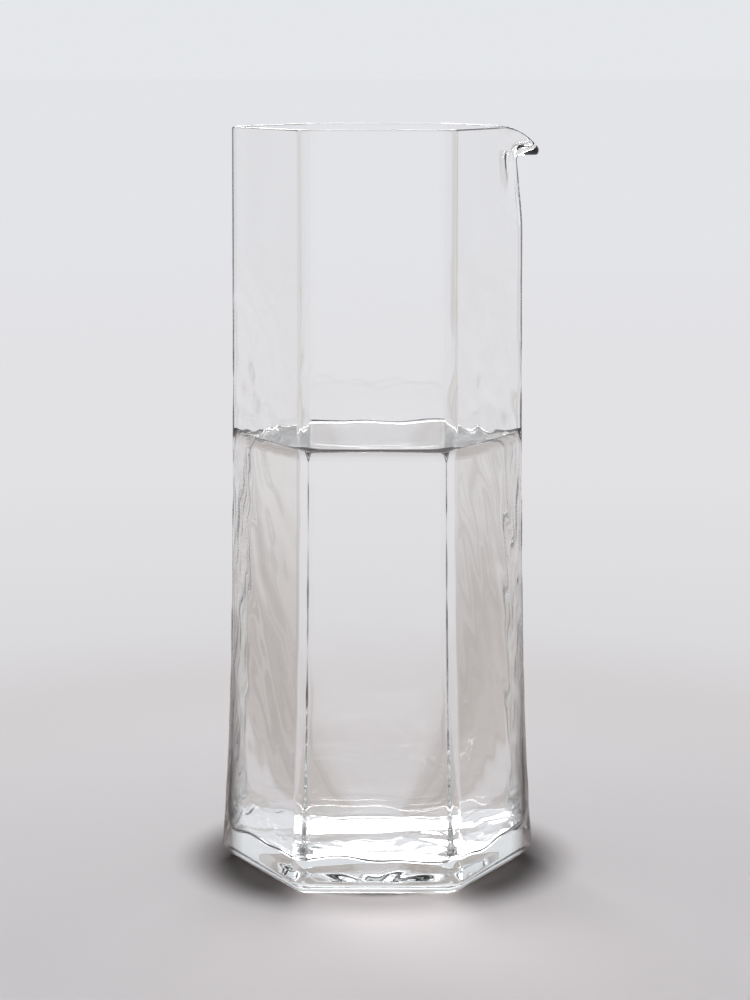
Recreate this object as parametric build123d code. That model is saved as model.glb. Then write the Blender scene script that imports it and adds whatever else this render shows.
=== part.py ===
# Six-sided blown glass carafe with a pouring spout pulled from one corner.
# Millimetres, origin at the centre of the resting plane, +Z up.
# The spout points along +X and two of the six flat panes face -Y and +Y.
from build123d import *
import math
import os

# Overall size
carafe_height = 245.0
rim_reach = 47.0
side_taper = 1.0
foot_flare = 4.95
foot_fade = 55.0

# Rounding of the six corners
outer_corner_radius = 4.5
inner_corner_radius = 6.5

# Glass thickness
rim_wall = 1.5
foot_wall = 4.0
wall_fade = 40.0
floor_thickness = 10.5

# Rounds at the foot
heel_radius = 6.0
floor_round = 4.0

# Pulled spout
pull_depth = 34.0
spout_half_width = 14.0
throat_lean = 5.5
throat_share = 0.4
lip_tilt = 86.0
bend_length = 6.0
lip_length = 4.0
lip_dip = 1.3
lip_swell = 0.45

# Shallow hollow under the foot
punt_diameter = 56.0
punt_depth = 1.2

# How finely the skin follows the outline
corner_steps = 8
pane_steps = 8
heel_steps = 5
bend_steps = 5
rim_steps = 6
floor_steps = 5
arc_step = 0.5
level_tolerance = 1e-9

# Where the rings lie: gaps up the flared part of a wall, then equal gaps to the pull,
# and shares of the throat's length up to the bend
flare_gaps = [6, 8, 12, 16, 22]
upper_gap_count = 4
throat_ring_shares = [0, 0.16, 0.32, 0.5, 0.7, 0.87]

# Values that follow from the sizes above
rim_radius = rim_wall / 2
pull_start = carafe_height - rim_radius - pull_depth
bend_start = pull_depth - lip_length - bend_length
corner_ratio = 1 / math.cos(math.radians(30))


# Outline of the six panes: points round each corner's arc, then along the pane after it
def outline(apothem, corner_radius):
    centre = (apothem - corner_radius) * corner_ratio
    half_pane = (apothem - corner_radius) / math.sqrt(3)
    points = []
    for corner in range(6):
        middle = math.radians(60 * corner)
        for step in range(corner_steps + 1):
            turn = middle + math.radians(60 * step / corner_steps - 30)
            x = centre * math.cos(middle) + corner_radius * math.cos(turn)
            y = centre * math.sin(middle) + corner_radius * math.sin(turn)
            points.append((x, y))
        normal = middle + math.radians(30)
        for step in range(1, pane_steps):
            along = half_pane * (2 * step / pane_steps - 1)
            x = apothem * math.cos(normal) - along * math.sin(normal)
            y = apothem * math.sin(normal) + along * math.cos(normal)
            points.append((x, y))
    return points


# Wall sizes at a height
def outer_apothem(z):
    reach = rim_reach + side_taper * (1 - z / carafe_height) + foot_flare * math.exp(-z / foot_fade)
    return (reach - outer_corner_radius) / corner_ratio + outer_corner_radius


def wall_thickness(z):
    return rim_wall + (foot_wall - rim_wall) * math.exp(-z / wall_fade)


def inner_apothem(z):
    return outer_apothem(z) - wall_thickness(z)


# How far a place on the rim takes part in the pull, from 0 to 1
def pull_share(y, x):
    if x < 0 or abs(y) >= spout_half_width:
        return 0
    return math.cos(math.pi * y / (2 * spout_half_width)) ** 2


def ease(t):
    t = min(max(t, 0), 1)
    return t * t * (3 - 2 * t)


# Tilt of the fully pulled glass: it leans in over the first share of the throat, then turns over into the lip
def full_tilt(s):
    lean = -throat_lean * ease(s / (throat_share * bend_start))
    turn = (lip_tilt + throat_lean) * ease((s - bend_start) / bend_length)
    return math.radians(lean + turn)


# Shift along X, height and tilt of the glass at arc length s above the start of the pull
def pulled_profile(s, share):
    scale = 1 - share * lip_dip / pull_depth
    steps = max(1, round(s / arc_step))
    part = s / steps
    x = 0
    z = 0
    for step in range(steps):
        tilt = share * full_tilt((step + 0.5) * part)
        x += math.sin(tilt) * part * scale
        z += math.cos(tilt) * part * scale
    return x, z, share * full_tilt(s)


# A level ring of the body below the spout
def level_ring(apothem, corner_radius, z):
    return [(x, y, z) for x, y in outline(apothem, corner_radius)]


# A ring of the pulled part; side is 1 outside, -1 inside, and between them over the rim.
# The glass gathers into a bead towards the lip
def pulled_ring(s, side, rise):
    z_flat = pull_start + s
    points = []
    near_lip = ease((s - bend_start) / (pull_depth - bend_start))
    outside = outline(outer_apothem(z_flat), outer_corner_radius)
    inside = outline(inner_apothem(z_flat), inner_corner_radius)
    for (xo, yo), (xi, yi) in zip(outside, inside):
        xm = (xo + xi) / 2
        ym = (yo + yi) / 2
        share = pull_share(ym, xm)
        shift, height, tilt = pulled_profile(s, share)
        swell = 1 + lip_swell * share * near_lip
        half_x = side * swell * (xo - xi) / 2
        half_y = side * swell * (yo - yi) / 2
        crown = rise * swell
        x = xm + shift + half_x * math.cos(tilt) + crown * math.sin(tilt)
        z = pull_start + height - half_x * math.sin(tilt) + crown * math.cos(tilt)
        points.append((x, ym + half_y, z))
    return points


# Bands of rings, from the foot up the outside, over the rim and down the inside.
# Each band starts on the last ring of the one before
def heel_band():
    rings = []
    for step in range(heel_steps + 1):
        angle = math.radians(90 * step / heel_steps)
        apothem = outer_apothem(heel_radius) - heel_radius * (1 - math.sin(angle))
        rings.append(level_ring(apothem, outer_corner_radius, heel_radius * (1 - math.cos(angle))))
    return rings


def body_heights(low):
    heights = [low]
    for gap in flare_gaps:
        heights.append(heights[-1] + gap)
    upper_gap = (pull_start - heights[-1]) / upper_gap_count
    for step in range(upper_gap_count):
        heights.append(heights[-1] + upper_gap)
    return heights


def outer_body_band():
    return [level_ring(outer_apothem(z), outer_corner_radius, z) for z in body_heights(heel_radius)]


def pulled_lengths():
    lengths = [bend_start * share for share in throat_ring_shares]
    for step in range(bend_steps + 1):
        lengths.append(bend_start + bend_length * step / bend_steps)
    lengths.append(pull_depth - lip_length / 2)
    lengths.append(pull_depth)
    return lengths


def pulled_band(side):
    return [pulled_ring(s, side, 0) for s in pulled_lengths()]


def rim_band():
    rings = []
    for step in range(rim_steps + 1):
        angle = math.pi * step / rim_steps
        rings.append(pulled_ring(pull_depth, math.cos(angle), rim_radius * math.sin(angle)))
    return rings


def inner_body_band():
    low = floor_thickness + floor_round
    return [level_ring(inner_apothem(z), inner_corner_radius, z) for z in body_heights(low)]


def floor_band():
    z_top = floor_thickness + floor_round
    rings = []
    for step in range(floor_steps + 1):
        angle = math.radians(90 * step / floor_steps)
        apothem = inner_apothem(z_top) - floor_round * (1 - math.cos(angle))
        rings.append(level_ring(apothem, inner_corner_radius, z_top - floor_round * math.sin(angle)))
    return rings


def is_level(run):
    return max(p.Z for p in run) - min(p.Z for p in run) < level_tolerance


# Six corners and six panes; away from the spout they are true arcs and straight lines
def closed_wire(points):
    ring = [Vector(*p) for p in points]
    per_side = corner_steps + pane_steps
    edges = []
    for start in range(0, len(ring), per_side):
        turn = start + corner_steps
        end = start + per_side
        corner = ring[start:turn + 1]
        pane = ring[turn:end] + [ring[end % len(ring)]]
        arrive = ring[start] - ring[start - 1]
        leave = pane[1] - pane[0]
        if is_level(corner):
            edges.append(Edge.make_three_point_arc(corner[0], corner[corner_steps // 2], corner[-1]))
        else:
            edges.append(Edge.make_spline(corner, tangents=[arrive, leave]))
        if is_level(pane):
            edges.append(Edge.make_line(pane[0], pane[-1]))
        else:
            edges.append(Edge.make_spline(pane, tangents=[leave, pane[-1] - pane[-2]]))
    return Wire(edges)


# Glass body: a skin lofted band by band, closed by the resting plane and the floor.
# The nearly straight walls and the fine rim need only flat steps between their rings
def glass_body():
    smooth = [heel_band(), pulled_band(1), pulled_band(-1), floor_band()]
    stepped = [outer_body_band(), rim_band(), inner_body_band()]
    faces = [Face(closed_wire(smooth[0][0])), Face(closed_wire(smooth[-1][-1]))]
    for band in smooth:
        faces += Shell.make_loft([closed_wire(ring) for ring in band]).faces()
    for band in stepped:
        faces += Shell.make_loft([closed_wire(ring) for ring in band], ruled=True).faces()
    return Solid(Shell(faces))


# Hollow under the foot, a shallow dome that leaves a flat ring to stand on.
# The disc is deeper and wider than the dome, and keeps only the cap of the sphere
def punt_dome():
    half = punt_diameter / 2
    radius = (half * half + punt_depth * punt_depth) / (2 * punt_depth)
    dome = Pos(0, 0, punt_depth - radius) * Sphere(radius)
    keep = Pos(0, 0, punt_depth / 2) * Cylinder(punt_diameter, punt_depth * 3)
    return dome & keep


carafe_glass = glass_body() - punt_dome()
carafe_glass.label = "carafe_glass"

os.makedirs("parts", exist_ok=True)
export_step(carafe_glass, "parts/carafe_glass.step")

box = carafe_glass.bounding_box()
print("box", box.min, box.max)
print("glass volume in ml", round(carafe_glass.volume / 1000, 1))
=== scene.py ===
# %% [markdown]
# # A six-sided glass carafe, part full of water
# The CAD model fixes the size and place of the carafe. This lesson dresses it: clear
# blown glass with a pulled spout, the water inside, a pale table and soft light.
# The first cell loads the imported frame.

# %% Load the frame
import math

import bmesh
import bpy
import numpy as np
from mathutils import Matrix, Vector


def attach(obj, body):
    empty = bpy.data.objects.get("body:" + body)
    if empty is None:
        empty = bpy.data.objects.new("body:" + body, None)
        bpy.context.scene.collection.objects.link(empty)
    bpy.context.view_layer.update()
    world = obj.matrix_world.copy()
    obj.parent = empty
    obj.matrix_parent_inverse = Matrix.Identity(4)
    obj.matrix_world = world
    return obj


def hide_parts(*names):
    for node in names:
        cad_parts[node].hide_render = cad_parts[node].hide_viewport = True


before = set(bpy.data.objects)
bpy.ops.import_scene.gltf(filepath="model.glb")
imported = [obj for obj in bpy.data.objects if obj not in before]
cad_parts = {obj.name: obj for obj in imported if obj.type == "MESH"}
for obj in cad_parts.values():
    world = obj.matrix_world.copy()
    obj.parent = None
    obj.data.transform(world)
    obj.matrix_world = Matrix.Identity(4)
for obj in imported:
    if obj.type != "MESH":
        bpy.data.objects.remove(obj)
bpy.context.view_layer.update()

# %% [markdown]
# ## Colours and nodes
# Colours are written as sRGB hex, the way a colour picker shows them. Blender's sockets
# want linear light, so one function turns a hex value into linear numbers. A second small
# function adds a node with its settings and links, which keeps every material short.

# %% Helpers for colours and nodes
MM = 0.001


def linear(hex_colour):
    parts = [int(hex_colour[i:i + 2], 16) / 255 for i in (1, 3, 5)]
    return [c / 12.92 if c <= 0.04045 else ((c + 0.055) / 1.055) ** 2.4 for c in parts] + [1.0]


def add(tree, kind, links=None, **settings):
    """Adds one node. Settings name its attributes or its inputs, where in6 is input number 6.
    Links join inputs to outputs, and a node given as a link stands for its first output."""
    node = tree.nodes.new(kind)
    sockets = {}
    for name, value in settings.items():
        if hasattr(node, name):
            setattr(node, name, value)
        else:
            sockets[name] = value
    for name, value in sockets.items():
        key = int(name[2:]) if name.startswith("in") and name[2:].isdigit() else name.replace("_", " ")
        node.inputs[key].default_value = value
    for key, source in (links or {}).items():
        output = source.outputs[0] if isinstance(source, bpy.types.Node) else source
        tree.links.new(output, node.inputs[key])
    return node


def new_material(name):
    material = bpy.data.materials.new(name)
    material.use_nodes = True
    material.node_tree.nodes.clear()
    return material, material.node_tree


# %% [markdown]
# ## Camera
# The photograph was fitted with a camera 850 mm in front of the axis and 267 mm above the
# table, looking down by 9.7 degrees. The focal length was fitted in pixels, and belongs to
# the long, upright side of the frame.

# %% Camera
CAMERA_PLACE = (-0.75 * MM, -850 * MM, 267.3 * MM)
CAMERA_PITCH = 0.169
PIXEL_FOCAL = 2601
FRAME_HEIGHT = 1000
SENSOR_HEIGHT = 36.0

camera_data = bpy.data.cameras.new("camera")
camera_data.sensor_fit = "VERTICAL"
camera_data.sensor_height = SENSOR_HEIGHT
camera_data.lens = PIXEL_FOCAL * SENSOR_HEIGHT / FRAME_HEIGHT
camera_data.clip_start = 10 * MM
camera = bpy.data.objects.new("camera", camera_data)
camera.location = CAMERA_PLACE
camera.rotation_euler = (math.pi / 2 - CAMERA_PITCH, 0, 0)
bpy.context.scene.collection.objects.link(camera)
bpy.context.scene.camera = camera
print("lens in mm:", round(camera_data.lens, 1))

# %% [markdown]
# ## The shape of the carafe
# The real carafe is blown into a six-sided mould, so its outline is six arcs joined by six
# straight panes, a little wider towards the foot. Subdivision would soften the panes, so
# the outline comes from a formula, in millimetres, with the sizes of the CAD model.

# %% Sizes of the body, in millimetres
HEIGHT = 245.0
RIM_REACH = 47.0
SIDE_TAPER = 1.0
FOOT_FLARE = 4.95
FOOT_FADE = 55.0
OUTER_CORNER = 4.5
RIM_WALL = 1.5
FOOT_WALL = 4.0
WALL_FADE = 40.0
FLOOR = 10.5
FLOOR_ROUND = 4.0
HEEL_RADIUS = 6.0
PUNT_RADIUS = 28.0
PUNT_DEPTH = 1.2
PULL_DEPTH = 34.0
RIM_RADIUS = RIM_WALL / 2
FLOOR_TOP = FLOOR + FLOOR_ROUND
PULL_START = HEIGHT - RIM_RADIUS - PULL_DEPTH
print("the spout is pulled from", PULL_START, "mm upwards")

# %% Outline: an arc at each corner, then a straight pane
SIDES = 6
CORNER_TURN = 360 / SIDES
SLANT = math.radians(CORNER_TURN / 2)
CORNER_STEPS = 20
PANE_STEPS = 24
MIDDLE_APOTHEM = 40.0


def outline(apothem, corner_radius):
    centre = (apothem - corner_radius) / math.cos(SLANT)
    half_pane = (apothem - corner_radius) / math.sqrt(3)
    turn = np.radians(CORNER_TURN * np.arange(CORNER_STEPS + 1) / CORNER_STEPS - CORNER_TURN / 2)
    x = centre + corner_radius * np.cos(turn)
    y = corner_radius * np.sin(turn)
    along = half_pane * (2 * np.arange(1, PANE_STEPS) / PANE_STEPS - 1)
    x = np.append(x, apothem * math.cos(SLANT) - along * math.sin(SLANT))
    y = np.append(y, apothem * math.sin(SLANT) + along * math.cos(SLANT))
    spin = [math.radians(CORNER_TURN * corner) for corner in range(SIDES)]
    return (np.concatenate([x * math.cos(a) - y * math.sin(a) for a in spin]),
            np.concatenate([x * math.sin(a) + y * math.cos(a) for a in spin]))


middle_x, middle_y = outline(MIDDLE_APOTHEM, OUTER_CORNER)
angles = np.arctan2(middle_y, middle_x)
print("points in one ring:", len(angles))

# %% [markdown]
# ## Thickness of the wall
# The wall is thin at the rim and thick at the foot. Inside, each corner's radius is smaller
# than the outer one by a third of the wall. There a bent sheet of glass no longer acts as a
# lens, so the corners stay as faint as they are in the real thing.

# %% Wall sizes at a height
def outer_apothem(z):
    reach = RIM_REACH + SIDE_TAPER * (1 - z / HEIGHT) + FOOT_FLARE * np.exp(-z / FOOT_FADE)
    return (reach - OUTER_CORNER) * math.cos(SLANT) + OUTER_CORNER


def wall_thickness(z):
    return RIM_WALL + (FOOT_WALL - RIM_WALL) * np.exp(-z / WALL_FADE)


def inner_apothem(z):
    return outer_apothem(z) - wall_thickness(z)


def inner_corner(z):
    return OUTER_CORNER - wall_thickness(z) / 3


print("wall just above the floor in mm:", round(wall_thickness(FLOOR_TOP), 2))

# %% [markdown]
# ## Hand-blown unevenness
# The mould gives the outside its flat panes, but the inside follows the breath of the maker.
# The side panes also carry shallow ripples outside, and the floor swells and dips. That is
# what makes the lines seen through the side panes and the foot wander. A displacement
# texture would reach the rim and the front pane too, so sums of sine waves round and up the
# carafe are used, drawn from a fixed seed. The front and back panes stay the calmest.

# %% Waves of the inner wall
WAVE_SEED = 7
WAVE_TOTAL = 14
WAVE_COUNTS = (2, 15)
WAVE_LENGTHS = (8, 60)
WAVE_DEPTH = 0.05
WAVE_FOOT_GAIN = 1.6
WAVE_FOOT_FADE = 40
FRONT_SHARE = 0.2
PHASE_END = 6.28

# Each wave has its count round the carafe, its length up the wall and two phases
rng = np.random.RandomState(WAVE_SEED)
WAVES = [(rng.randint(*WAVE_COUNTS), rng.uniform(*WAVE_LENGTHS),
          rng.uniform(0, PHASE_END), rng.uniform(0, PHASE_END)) for _ in range(WAVE_TOTAL)]


def inner_wave(z):
    total = np.zeros_like(angles)
    for count, length, phase_a, phase_z in WAVES:
        total += np.sin(count * angles + phase_a + 2 * math.pi * z / length) * np.sin(phase_z + z / length)
    calm = FRONT_SHARE + (1 - FRONT_SHARE) * np.abs(np.cos(angles)) ** 1.5
    return WAVE_DEPTH * total * calm * (1 + WAVE_FOOT_GAIN * np.exp(-z / WAVE_FOOT_FADE))


print("deepest inner wave just above the floor in mm:", round(np.abs(inner_wave(FLOOR_TOP)).max(), 2))

# %% Ripples of the side panes and unevenness of the floor
RIPPLE_TOTAL = 10
RIPPLE_COUNTS = (10, 34)
RIPPLE_LENGTHS = (9, 40)
RIPPLE_DEPTH = 0.22
RIPPLE_SOFTNESS = 3
RIPPLE_FOOT_FADE = 10
RIPPLE_TOP_FADE = 60
RIPPLES = [(rng.randint(*RIPPLE_COUNTS), rng.uniform(*RIPPLE_LENGTHS), rng.uniform(0, PHASE_END))
           for _ in range(RIPPLE_TOTAL)]

# Each wave of the floor has its depth, its count round the carafe and its phase
FLOOR_WAVES = [(0.7, 3, 1), (0.45, 7, 2.2), (0.35, 13, 0.7)]


def ease(t):
    t = np.clip(t, 0, 1)
    return t * t * (3 - 2 * t)


def outer_wave(z):
    total = np.zeros_like(angles)
    for count, length, phase in RIPPLES:
        total += np.sin(count * angles + phase + 2 * math.pi * z / length)
    dent = 0.5 + 0.5 * np.tanh(total / RIPPLE_SOFTNESS)
    fade = ease((z - HEEL_RADIUS) / RIPPLE_FOOT_FADE) * ease((PULL_START - z) / RIPPLE_TOP_FADE)
    return -RIPPLE_DEPTH * dent * np.abs(np.cos(angles)) ** 2 * fade


def floor_wave():
    return sum(depth * np.sin(count * angles + phase) for depth, count, phase in FLOOR_WAVES)


print("deepest ripple half way up in mm:", round(-outer_wave(HEIGHT / 2).min(), 2))
print("floor at its edge, from and to in mm:", round(floor_wave().min(), 1), round(floor_wave().max(), 1))

# %% [markdown]
# ## Rings and the pulled spout
# The body is built ring by ring, because a ring can follow both the flare of the foot and
# the spout. The maker pulls the spout from the hot rim: at one corner the wall leans in at
# the throat, turns over into a lip and gathers into a small bead. So each ring of the top
# part is bent along the wall's own length, fully at the corner and not at all beside it.
# In the spout the inner corner widens to the radius that the CAD model has.

# %% Level rings
def ring_of(x, y, z):
    return np.stack([x, y, np.full_like(x, z)], 1)


def level_ring(apothem, corner_radius, z):
    return ring_of(*outline(apothem, corner_radius), z)


def moved_out(ring, distance):
    """Moves the points of a ring away from the axis by a distance."""
    reach = np.hypot(ring[:, 0], ring[:, 1])
    ring[:, :2] *= ((reach + distance) / reach)[:, None]
    return ring


# %% Rings of the spout
SPOUT_HALF_WIDTH = 14.0
SPOUT_INNER_CORNER = 6.5
SPOUT_BLEND = 12.0
SPOUT_SPREAD = 3
THROAT_LEAN = 5.5
THROAT_SHARE = 0.4
LIP_TILT = 86.0
BEND_LENGTH = 6.0
LIP_LENGTH = 4.0
LIP_DIP = 1.3
LIP_SWELL = 0.45
ARC_STEP = 0.25
BEND_START = PULL_DEPTH - LIP_LENGTH - BEND_LENGTH


def full_tilt(s):
    lean = -THROAT_LEAN * ease(s / (THROAT_SHARE * BEND_START))
    turn = (LIP_TILT + THROAT_LEAN) * ease((s - BEND_START) / BEND_LENGTH)
    return np.radians(lean + turn)


def pull_share(x, y):
    inside = (x > 0) & (np.abs(y) < SPOUT_HALF_WIDTH)
    return np.where(inside, np.cos(np.pi * y / (2 * SPOUT_HALF_WIDTH)) ** 2, 0)


def pulled_ring(s, side, rise):
    """A ring at length s above the start of the pull. Side is 1 outside, -1 inside and between
    them over the rim, where rise is the height of the round above the middle of the wall."""
    z_flat = PULL_START + s
    xo, yo = outline(outer_apothem(z_flat), OUTER_CORNER)
    xi, yi = outline(inner_apothem(z_flat), inner_corner(z_flat))
    xs, ys = outline(inner_apothem(z_flat), SPOUT_INNER_CORNER)
    spout = ease(s / SPOUT_BLEND) * ease(SPOUT_SPREAD * pull_share(xo, yo))
    xi = xi + (xs - xi) * spout
    yi = yi + (ys - yi) * spout
    xm = (xo + xi) / 2
    ym = (yo + yi) / 2
    share = pull_share(xm, ym)
    scale = 1 - share * LIP_DIP / PULL_DEPTH
    steps = max(1, round(s / ARC_STEP))
    part = s / steps
    shift = np.zeros_like(xm)
    height = np.zeros_like(xm)
    for step in range(steps):
        tilt = share * full_tilt((step + 0.5) * part)
        shift += np.sin(tilt) * part * scale
        height += np.cos(tilt) * part * scale
    tilt = share * full_tilt(s)
    swell = 1 + LIP_SWELL * share * ease((s - BEND_START) / (PULL_DEPTH - BEND_START))
    half_x = side * swell * (xo - xi) / 2
    half_y = side * swell * (yo - yi) / 2
    crown = rise * swell
    x = xm + shift + half_x * np.cos(tilt) + crown * np.sin(tilt)
    z = PULL_START + height - half_x * np.sin(tilt) + crown * np.cos(tilt)
    return np.stack([x, ym + half_y, z], 1)


lip = pulled_ring(PULL_DEPTH, 1, 0)
print("reach of the lip in mm:", round(lip[:, 0].max(), 1))

# %% [markdown]
# ## Glass body
# One skin runs from the middle of the hollow under the foot, over the heel, up the outside,
# round the fire-polished rim and down the inside to the middle of the floor. Where the
# surface turns sharply, at the heel, the lip and the round of the floor, the rings lie close.

# %% Rings of the foot and the walls
PUNT_STEPS = 14
PUNT_FIRST_RADIUS = 2
FOOT_SHARES = (0.1, 0.3, 0.5, 0.7, 0.85)
ROUND_STEPS = 12
OUTER_ROWS = 110
INNER_ROWS = 100
THROAT_ROWS = 12
BEND_ROWS = 12
LIP_ROWS = 6


def foot_rings():
    rings = []
    dome = (PUNT_RADIUS ** 2 + PUNT_DEPTH ** 2) / (2 * PUNT_DEPTH)
    for radius in np.linspace(PUNT_FIRST_RADIUS, PUNT_RADIUS, PUNT_STEPS):
        z = PUNT_DEPTH - dome + math.sqrt(dome ** 2 - radius ** 2)
        rings.append(ring_of(radius * np.cos(angles), radius * np.sin(angles), z))
    punt_edge = rings[-1]
    contact_ring = level_ring(outer_apothem(HEEL_RADIUS) - HEEL_RADIUS, OUTER_CORNER, 0)
    for share in FOOT_SHARES:
        rings.append(punt_edge * (1 - share) + contact_ring * share)
    for angle in np.radians(np.linspace(0, 90, ROUND_STEPS + 1)[:-1]):
        apothem = outer_apothem(HEEL_RADIUS) - HEEL_RADIUS * (1 - math.sin(angle))
        rings.append(level_ring(apothem, OUTER_CORNER, HEEL_RADIUS * (1 - math.cos(angle))))
    return rings


def body_heights(low, count):
    return np.linspace(low, PULL_START, count)[:-1]


def outer_ring(z):
    return moved_out(level_ring(outer_apothem(z), OUTER_CORNER, z), outer_wave(z))


def pulled_lengths():
    lengths = list(np.linspace(0, BEND_START, THROAT_ROWS))
    lengths += list(np.linspace(BEND_START, BEND_START + BEND_LENGTH, BEND_ROWS)[1:])
    lengths += list(np.linspace(BEND_START + BEND_LENGTH, PULL_DEPTH, LIP_ROWS)[1:])
    return lengths


inner_heights = body_heights(FLOOR_TOP, INNER_ROWS)[1:]
print("rings in the pulled part, outside:", len(pulled_lengths()))

# %% Rings of the inside and the floor
WAVE_TOP_FADE = 25
FLOOR_BLEND = 14.0
FLOOR_SHARES = np.linspace(1, 0.04, 16)[1:]


def inner_ring(z, apothem=None):
    apothem = inner_apothem(z) if apothem is None else apothem
    ring = level_ring(apothem, inner_corner(z), z)
    moved_out(ring, inner_wave(z) * ease((PULL_START - z) / WAVE_TOP_FADE))
    ring[:, 2] += floor_wave() * ease((FLOOR_TOP + FLOOR_BLEND - z) / FLOOR_BLEND)
    return ring


def floor_rings():
    rings = []
    for angle in np.radians(np.linspace(0, 90, ROUND_STEPS + 1)):
        apothem = inner_apothem(FLOOR_TOP) - FLOOR_ROUND * (1 - math.cos(angle))
        rings.append(inner_ring(FLOOR_TOP - FLOOR_ROUND * math.sin(angle), apothem))
    floor_edge = rings[-1]
    for share in FLOOR_SHARES:
        ring = floor_edge * share
        ring[:, 2] = FLOOR + floor_wave() * share ** 2
        rings.append(ring)
    return rings


print("rings of the floor:", len(floor_rings()))

# %% Skin over a stack of rings
def skin(name, rings, material, low_pole, high_pole):
    count = len(angles)
    points = np.concatenate(rings + [np.array([low_pole]), np.array([high_pole])]) * MM
    low = len(points) - 2
    high = len(points) - 1
    faces = []
    for row in range(len(rings) - 1):
        for i in range(count):
            a = row * count + i
            b = row * count + (i + 1) % count
            faces.append((a, b, b + count, a + count))
    last = (len(rings) - 1) * count
    for i in range(count):
        j = (i + 1) % count
        faces.append((j, i, low))
        faces.append((last + i, last + j, high))
    mesh = bpy.data.meshes.new(name)
    mesh.from_pydata(points.tolist(), [], faces)
    mesh.shade_smooth()
    mesh.materials.append(material)
    body = bmesh.new()
    body.from_mesh(mesh)
    bmesh.ops.recalc_face_normals(body, faces=body.faces)
    body.to_mesh(mesh)
    body.free()
    piece = bpy.data.objects.new(name, mesh)
    bpy.context.scene.collection.objects.link(piece)
    print(name, "has", len(mesh.vertices), "points and", len(mesh.polygons), "faces")
    return piece


# %% [markdown]
# ## Clear soda-lime glass
# Bottle and tableware glass: colourless, with a refractive index near 1.5. Its surface comes
# straight from the fire, so it has no roughness at all. At the left and right outlines, and
# out on the low flare, its colour is painted a darker warm grey: painted shade that stands in
# for the dark surroundings mirrored there. Rays on their way to a lamp go straight through,
# because bent ones would need far too many samples. They are dimmed where they graze the
# glass and at the sides of the foot, which gives the soft shadow. Water is made the same
# way, but it bends light less and has no tint of its own.

# %% Glass material
CLEAR = "#FFFFFF"
DEEP_SHADE = "#4A4340"
GRAZING = (0.72, 1.0)
OUTLINE_FACING = (0.87, 0.95)
FLARE_OUT = (44.5 * MM, 49 * MM)
FLARE_LOW = (95 * MM, 30 * MM)
SHADE_LOW = (50 * MM, 10 * MM)


# Painted shade: the glass's colour turns darker at its left and right outlines and out on the low flare
def painted_outline_shade(tree, place, facing_side, grazing, outline_shade_hex):
    at_outline = add(tree, "ShaderNodeMapRange", {"Value": facing_side},
                     From_Min=OUTLINE_FACING[0], From_Max=OUTLINE_FACING[1])
    thin_line = add(tree, "ShaderNodeMath", {0: grazing, 1: at_outline}, operation="MULTIPLY")
    off_axis = add(tree, "ShaderNodeMath", {0: place.outputs["X"]}, operation="ABSOLUTE")
    far_out = add(tree, "ShaderNodeMapRange", {"Value": off_axis},
                  From_Min=FLARE_OUT[0], From_Max=FLARE_OUT[1])
    low_down = add(tree, "ShaderNodeMapRange", {"Value": place.outputs["Z"]},
                   From_Min=FLARE_LOW[0], From_Max=FLARE_LOW[1])
    flare = add(tree, "ShaderNodeMath", {0: far_out, 1: low_down}, operation="MULTIPLY")
    outline_shade_share = add(tree, "ShaderNodeMath", {0: thin_line, 1: flare}, operation="MAXIMUM")
    outline_shade_colour = add(tree, "ShaderNodeMix", {0: outline_shade_share}, data_type="RGBA", in6=linear(CLEAR), in7=linear(outline_shade_hex))
    return outline_shade_colour.outputs[2]


def clear_glass(name, ior, shade_hex, outline_shade_hex=None, absorb=None):
    material, tree = new_material(name)
    where = add(tree, "ShaderNodeNewGeometry")
    place = add(tree, "ShaderNodeSeparateXYZ", {0: where.outputs["Position"]})
    normal = add(tree, "ShaderNodeSeparateXYZ", {0: where.outputs["Normal"]})
    facing_side = add(tree, "ShaderNodeMath", {0: normal.outputs["X"]}, operation="ABSOLUTE")
    weight = add(tree, "ShaderNodeLayerWeight", Blend=0.5)
    grazing = add(tree, "ShaderNodeMapRange", {"Value": weight.outputs["Facing"]},
                  From_Min=GRAZING[0], From_Max=GRAZING[1])
    body = add(tree, "ShaderNodeBsdfPrincipled", Base_Color=linear(CLEAR),
               Roughness=0.0, IOR=ior, Transmission_Weight=1.0)
    if outline_shade_hex:
        tree.links.new(painted_outline_shade(tree, place, facing_side, grazing, outline_shade_hex), body.inputs["Base Color"])
    low = add(tree, "ShaderNodeMapRange", {"Value": place.outputs["Z"]},
              From_Min=SHADE_LOW[0], From_Max=SHADE_LOW[1])
    bent = add(tree, "ShaderNodeMath", {0: low, 1: facing_side}, operation="MULTIPLY")
    dim = add(tree, "ShaderNodeMath", {0: grazing, 1: bent}, operation="MAXIMUM")
    shade = add(tree, "ShaderNodeMix", {0: dim}, data_type="RGBA",
                in6=linear(shade_hex), in7=linear(DEEP_SHADE))
    straight = add(tree, "ShaderNodeBsdfTransparent", {"Color": shade.outputs[2]})
    path = add(tree, "ShaderNodeLightPath")
    surface = add(tree, "ShaderNodeMixShader", {0: path.outputs["Is Shadow Ray"], 1: body, 2: straight})
    links = {"Surface": surface}
    if absorb:
        absorb_hex, density = absorb
        links["Volume"] = add(tree, "ShaderNodeVolumeAbsorption", Color=linear(absorb_hex), Density=density)
    add(tree, "ShaderNodeOutputMaterial", links)
    print(name, "has", len(tree.nodes), "nodes")
    return material


# Painted shade #5C504C at the glass's left and right outlines and on its low flare
soda_lime_glass = clear_glass("soda_lime_glass", 1.5, "#F4F3F2", outline_shade_hex="#5C504C", absorb=("#DDE4E0", 3.0))

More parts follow.
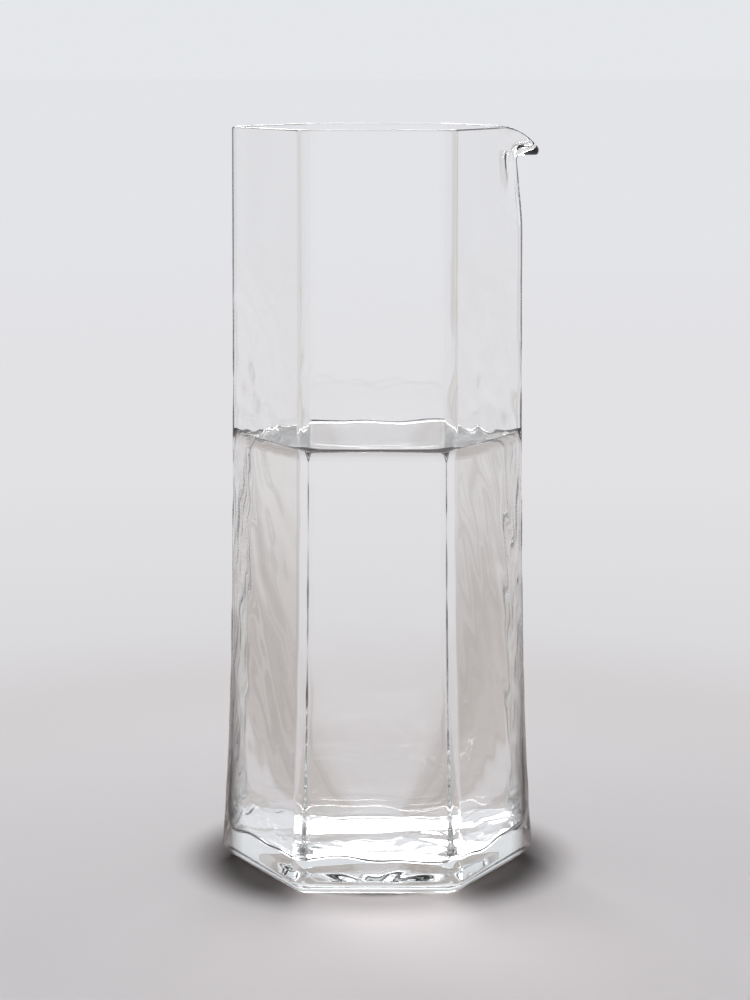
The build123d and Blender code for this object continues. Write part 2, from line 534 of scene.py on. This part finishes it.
# %% Build the glass body
glass_rings = foot_rings()
glass_rings += [outer_ring(z) for z in body_heights(HEEL_RADIUS, OUTER_ROWS)]
glass_rings += [pulled_ring(s, 1, 0) for s in pulled_lengths()]
for turn in np.radians(np.linspace(0, 180, ROUND_STEPS + 1)[1:-1]):
    glass_rings.append(pulled_ring(PULL_DEPTH, math.cos(turn), RIM_RADIUS * math.sin(turn)))
glass_rings += [pulled_ring(s, -1, 0) for s in reversed(pulled_lengths())]
glass_rings += [inner_ring(z) for z in reversed(inner_heights)]
glass_rings += floor_rings()
glass_body = skin("glass_body", glass_rings, soda_lime_glass, (0, 0, PUNT_DEPTH), (0, 0, FLOOR))
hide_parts("carafe_glass")
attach(glass_body, "root")

# %% [markdown]
# ## Water
# The carafe is a little over half full. Water wets clean glass, so its edge climbs the wall:
# 3 mm at the front, about 4 mm in the two side corners and 1 mm at the back. That curved edge
# mirrors the painted shadow under the foot and is the dark line round the level. The body of
# water reaches a hair into the wall, so that no film of air is left between the two and light
# passes from glass to water as it does in the real one.

# %% Water surface
WATER_LEVEL = 142.4
CLIMB = 3.0
CORNER_CLIMB = 0.25
SIDE_CLIMB = 1.8
SIDE_NARROWNESS = 40
BACK_CLIMB_SHARE = 0.3
BACK_SPREAD = 0.9
CLIMB_FADE = 1.9
EDGE_INSETS = (0.02, 0.15, 0.3, 0.5, 0.75, 1.05, 1.4, 1.8, 2.3, 3.0, 4.0, 5.5, 8.0)
MIDDLE_SHARES = (0.7, 0.4, 0.1)


def edge_climb(wall):
    reach = np.hypot(wall[:, 0], wall[:, 1])
    corner = (reach - reach.min()) / np.ptp(reach)
    towards_back = ease(0.5 + BACK_SPREAD * np.sin(angles))
    climb = CLIMB * (1 + CORNER_CLIMB * corner ** 4) * (1 - (1 - BACK_CLIMB_SHARE) * towards_back)
    return climb + SIDE_CLIMB * np.abs(np.cos(angles)) ** SIDE_NARROWNESS


def water_surface_rings(wall, climb):
    rings = []
    for inset in EDGE_INSETS:
        ring = moved_out(wall.copy(), -inset)
        ring[:, 2] = WATER_LEVEL + climb * np.exp(-inset / CLIMB_FADE)
        rings.append(ring)
    last = rings[-1]
    for share in MIDDLE_SHARES:
        ring = last * share
        ring[:, 2] = WATER_LEVEL
        rings.append(ring)
    return rings


level_wall = inner_ring(WATER_LEVEL)
climb = edge_climb(level_wall)
print("climb of the edge, least and most in mm:", round(climb.min(), 1), round(climb.max(), 1))

# %% Build the water
OVERLAP = 0.12

drinking_water = clear_glass("drinking_water", 1.333, "#FAFAFA")


def grown(ring):
    out = moved_out(ring.copy(), OVERLAP)
    out[:, 2] -= OVERLAP * ease((FLOOR_TOP - ring[:, 2]) / FLOOR_ROUND)
    return out


water_rings = [grown(ring) for ring in reversed(floor_rings())]
water_rings += [grown(inner_ring(z)) for z in inner_heights if z < WATER_LEVEL]
wet_edge = grown(level_wall)
wet_edge[:, 2] = WATER_LEVEL + climb
water_rings.append(wet_edge)
water_rings += water_surface_rings(level_wall, climb)
water = skin("water", water_rings, drinking_water, (0, 0, FLOOR - OVERLAP), (0, 0, WATER_LEVEL))
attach(water, "root")

# %% [markdown]
# ## Table top
# The carafe stands on a matt pale table, which a plain diffuse shader gives its soft shadow.
# Two shadows are painted on it, because the soft light alone leaves them too pale. One is a
# painted shadow under the foot, where the foot and the edge of the water mirror it. The other
# is the painted contact shadow round the foot, which is deepest at its left and right.

# %% Table top
TABLE_TONE = "#CFCBCC"
# Tone and reach of the painted shadow under the foot
FOOT_SHADOW_TONE = "#2A2827"
FOOT_SHADOW_EDGE = (39 * MM, 46 * MM)
CONTACT_TONE = "#443F3D"
CONTACT_EDGE = (71 * MM, 49 * MM)
CONTACT_SIDES = (0.35, 0.75)
CONTACT_STRENGTH = (0.45, 0.9)

table_top, tree = new_material("matt_table_top")
spot = add(tree, "ShaderNodeNewGeometry")
along = add(tree, "ShaderNodeSeparateXYZ", {0: spot.outputs["Position"]})
flat_spot = add(tree, "ShaderNodeVectorMath", {0: spot.outputs["Position"]},
                operation="MULTIPLY", in1=(1, 1, 0))
radius = add(tree, "ShaderNodeVectorMath", {0: flat_spot}, operation="LENGTH").outputs["Value"]
# Painted shadow under the foot: dark inside the foot, fading to the table's own tone at its edge
clear_of_foot_shadow = add(tree, "ShaderNodeMapRange", {"Value": radius}, interpolation_type="SMOOTHSTEP",
                 From_Min=FOOT_SHADOW_EDGE[0], From_Max=FOOT_SHADOW_EDGE[1])
foot_shadowed_table = add(tree, "ShaderNodeMix", {0: clear_of_foot_shadow}, data_type="RGBA",
              in6=linear(FOOT_SHADOW_TONE), in7=linear(TABLE_TONE))
sideways = add(tree, "ShaderNodeMath", {0: along.outputs["X"], 1: radius}, operation="DIVIDE")
sideways = add(tree, "ShaderNodeMath", {0: sideways}, operation="ABSOLUTE")
beside = add(tree, "ShaderNodeMapRange", {"Value": sideways}, interpolation_type="SMOOTHSTEP",
             From_Min=CONTACT_SIDES[0], From_Max=CONTACT_SIDES[1],
             To_Min=CONTACT_STRENGTH[0], To_Max=CONTACT_STRENGTH[1])
hugging = add(tree, "ShaderNodeMapRange", {"Value": radius}, interpolation_type="SMOOTHSTEP",
              From_Min=CONTACT_EDGE[0], From_Max=CONTACT_EDGE[1])
contact = add(tree, "ShaderNodeMath", {0: beside, 1: hugging}, operation="MULTIPLY")
# The table's colour, with the painted shadow under the foot and the painted contact shadow round it
shadowed_table_tone = add(tree, "ShaderNodeMix", {0: contact, 6: foot_shadowed_table.outputs[2]}, data_type="RGBA",
                 in7=linear(CONTACT_TONE))
table = add(tree, "ShaderNodeBsdfDiffuse", {"Color": shadowed_table_tone.outputs[2]})

# %% [markdown]
# ## Backdrop and grey cards
# The table blends into a backdrop that grows paler with distance, which a colour ramp over
# the distance from the carafe gives. Clear glass shows little but what stands round it, so
# photographers set up grey cards, and their reflections and bent images draw the glass.
# Here eight soft-edged cards stand round the set. They are slightly mottled, which breaks
# up the bands in the side panes, and only rays that went through the glass see them.

# %% Backdrop tones
BACKDROP_REACH = 3.0

# Each tone of the backdrop, with its distance from the axis in metres
BACKDROP_TONES = [(0.15, "#CDC9CA"), (0.25, "#D3D0D1"), (0.37, "#DBDADD"),
                  (0.53, "#DEDEE0"), (0.8, "#E2E1E4"), (BACKDROP_REACH, "#E3E4E8")]

distance = add(tree, "ShaderNodeMapRange", {"Value": radius}, From_Min=0.0, From_Max=BACKDROP_REACH)
tones = add(tree, "ShaderNodeValToRGB", {0: distance})
while len(tones.color_ramp.elements) < len(BACKDROP_TONES):
    tones.color_ramp.elements.new(0.5)
for element, (metres, tone) in zip(tones.color_ramp.elements, BACKDROP_TONES):
    element.position = metres / BACKDROP_REACH
    element.color = linear(tone)
print("tones of the backdrop:", len(tones.color_ramp.elements))

# %% Grey cards
CARD_COUNT = 8.0
CARD_EDGE = (0.7, 0.0)
CARD_REACH = (0.2, 0.8)
NEAR_CARD_TONE = "#BDB7B4"
FAR_CARD_TONE = "#DAD7D7"
MOTTLE_TONE = "#8F8682"
MOTTLE_EDGE = (0.6, 0.38)
MOTTLE_STRENGTH = 0.4

heading = add(tree, "ShaderNodeMath", {0: along.outputs["Y"], 1: along.outputs["X"]}, operation="ARCTAN2")
turns = add(tree, "ShaderNodeMath", {0: heading}, operation="MULTIPLY", in1=CARD_COUNT)
wave = add(tree, "ShaderNodeMath", {0: turns}, operation="COSINE")
card = add(tree, "ShaderNodeMapRange", {"Value": wave}, interpolation_type="SMOOTHSTEP",
           From_Min=CARD_EDGE[0], From_Max=CARD_EDGE[1])
away = add(tree, "ShaderNodeMapRange", {"Value": radius}, interpolation_type="SMOOTHSTEP",
           From_Min=CARD_REACH[0], From_Max=CARD_REACH[1])
plain_card = add(tree, "ShaderNodeMix", {0: away}, data_type="RGBA",
                 in6=linear(NEAR_CARD_TONE), in7=linear(FAR_CARD_TONE))
direction = add(tree, "ShaderNodeVectorMath", {0: flat_spot}, operation="NORMALIZE")
mottle = add(tree, "ShaderNodeTexNoise", {"Vector": direction}, Scale=18.0, Detail=5.0, Roughness=0.65)
dimmer = add(tree, "ShaderNodeMapRange", {"Value": mottle}, interpolation_type="SMOOTHSTEP",
             From_Min=MOTTLE_EDGE[0], From_Max=MOTTLE_EDGE[1], To_Max=MOTTLE_STRENGTH)
mottled_card = add(tree, "ShaderNodeMix", {0: dimmer, 6: plain_card.outputs[2]}, data_type="RGBA",
                   in7=linear(MOTTLE_TONE))
carded = add(tree, "ShaderNodeMix", {0: card, 6: tones, 7: mottled_card.outputs[2]}, data_type="RGBA")

# %% [markdown]
# ## What each ray sees of the floor
# The light that falls on the carafe comes from the plain diffuse table. Farther out, camera,
# mirror and glass rays see the even tones of the backdrop instead. Rays that come out of the
# glass see those tones and the cards from just outside the foot, so the lower panes don't
# turn as dark as the shadow of the glass. None of it adds light to the object.

# %% Floor
TABLE_END = (0.15, 0.28)
FOOT_END = (44 * MM, 52 * MM)
FLOOR_HALF = 30.0
FLOOR_GAP = 0.05 * MM


def seen_rays(tree, path):
    """1 for the rays that show the surroundings, 0 for those that only light the object."""
    seen = add(tree, "ShaderNodeMath", {0: path.outputs["Is Camera Ray"], 1: path.outputs["Is Glossy Ray"]},
               operation="MAXIMUM")
    return add(tree, "ShaderNodeMath", {0: seen, 1: path.outputs["Is Transmission Ray"]}, operation="MAXIMUM")


path = add(tree, "ShaderNodeLightPath")
through_glass = path.outputs["Is Transmission Ray"]
shown = add(tree, "ShaderNodeMix", {0: through_glass, 6: tones, 7: carded.outputs[2]}, data_type="RGBA")
glow = add(tree, "ShaderNodeEmission", {"Color": shown.outputs[2]}, Strength=1.0)
far = add(tree, "ShaderNodeMapRange", {"Value": radius}, interpolation_type="SMOOTHSTEP",
          From_Min=TABLE_END[0], From_Max=TABLE_END[1])
far_share = add(tree, "ShaderNodeMath", {0: seen_rays(tree, path), 1: far}, operation="MULTIPLY")
past_foot = add(tree, "ShaderNodeMapRange", {"Value": radius}, interpolation_type="SMOOTHSTEP",
                From_Min=FOOT_END[0], From_Max=FOOT_END[1])
glass_share = add(tree, "ShaderNodeMath", {0: through_glass, 1: past_foot}, operation="MULTIPLY")
share = add(tree, "ShaderNodeMath", {0: far_share, 1: glass_share}, operation="MAXIMUM")
both = add(tree, "ShaderNodeMixShader", {0: share, 1: table, 2: glow})
add(tree, "ShaderNodeOutputMaterial", {"Surface": both})

floor_mesh = bpy.data.meshes.new("floor")
floor_mesh.from_pydata([(-FLOOR_HALF, -FLOOR_HALF, 0), (FLOOR_HALF, -FLOOR_HALF, 0),
                        (FLOOR_HALF, FLOOR_HALF, 0), (-FLOOR_HALF, FLOOR_HALF, 0)], [], [(0, 1, 2, 3)])
floor_mesh.materials.append(table_top)
floor = bpy.data.objects.new("floor", floor_mesh)
floor.location.z = -FLOOR_GAP
bpy.context.scene.collection.objects.link(floor)
print("the floor's material has", len(tree.nodes), "nodes")

# %% [markdown]
# ## Room and lamp
# An even pale room gives most of the light, at two thirds of the strength at which it is
# seen. One broad lamp stands high behind the carafe and a little to the left, as a window
# would, and throws the glass's soft shadow forward onto the table.

# %% Room
ROOM_TONE = "#E5E7EB"
ROOM_LIGHT = 0.68
ROOM_SEEN = 1.0

world = bpy.data.worlds.new("studio")
bpy.context.scene.world = world
world.use_nodes = True
world.node_tree.nodes.clear()
tree = world.node_tree
path = add(tree, "ShaderNodeLightPath")
room = add(tree, "ShaderNodeBackground", Color=linear(ROOM_TONE), Strength=ROOM_LIGHT)
seen_room = add(tree, "ShaderNodeBackground", Color=linear(ROOM_TONE), Strength=ROOM_SEEN)
sky = add(tree, "ShaderNodeMixShader", {0: seen_rays(tree, path), 1: room, 2: seen_room})
add(tree, "ShaderNodeOutputWorld", {"Surface": sky})

# %% Lamp
LAMP_PLACE = (-0.15, 1.1, 0.95)
LAMP_AIM = (0, 0, 0.1)
LAMP_SIZE = (0.9, 0.6)
LAMP_WATTS = 15.5

lamp_data = bpy.data.lights.new("key_lamp", "AREA")
lamp_data.shape = "RECTANGLE"
lamp_data.size, lamp_data.size_y = LAMP_SIZE
lamp_data.energy = LAMP_WATTS
lamp = bpy.data.objects.new("key_lamp", lamp_data)
lamp.location = LAMP_PLACE
to_carafe = Vector(np.array(LAMP_AIM) - np.array(LAMP_PLACE))
lamp.rotation_euler = to_carafe.to_track_quat("-Z", "Y").to_euler()
bpy.context.scene.collection.objects.link(lamp)
print("the lamp stands", round(to_carafe.length, 2), "m from the carafe")

# %% [markdown]
# ## Light bounces and tones
# A ray crosses glass and water many times, and the edge of the water passes it on by mirror
# reflection alone. With the usual few bounces it would end there and the lines would turn
# black, so it is followed much longer. Standard keeps the colours as they were written.

# %% Light bounces and tones
GLASS_BOUNCES = 24
ALL_BOUNCES = 28

scene = bpy.context.scene
scene.cycles.transparent_max_bounces = GLASS_BOUNCES
scene.cycles.transmission_bounces = GLASS_BOUNCES
scene.cycles.glossy_bounces = GLASS_BOUNCES
scene.cycles.max_bounces = ALL_BOUNCES
scene.view_settings.view_transform = "Standard"
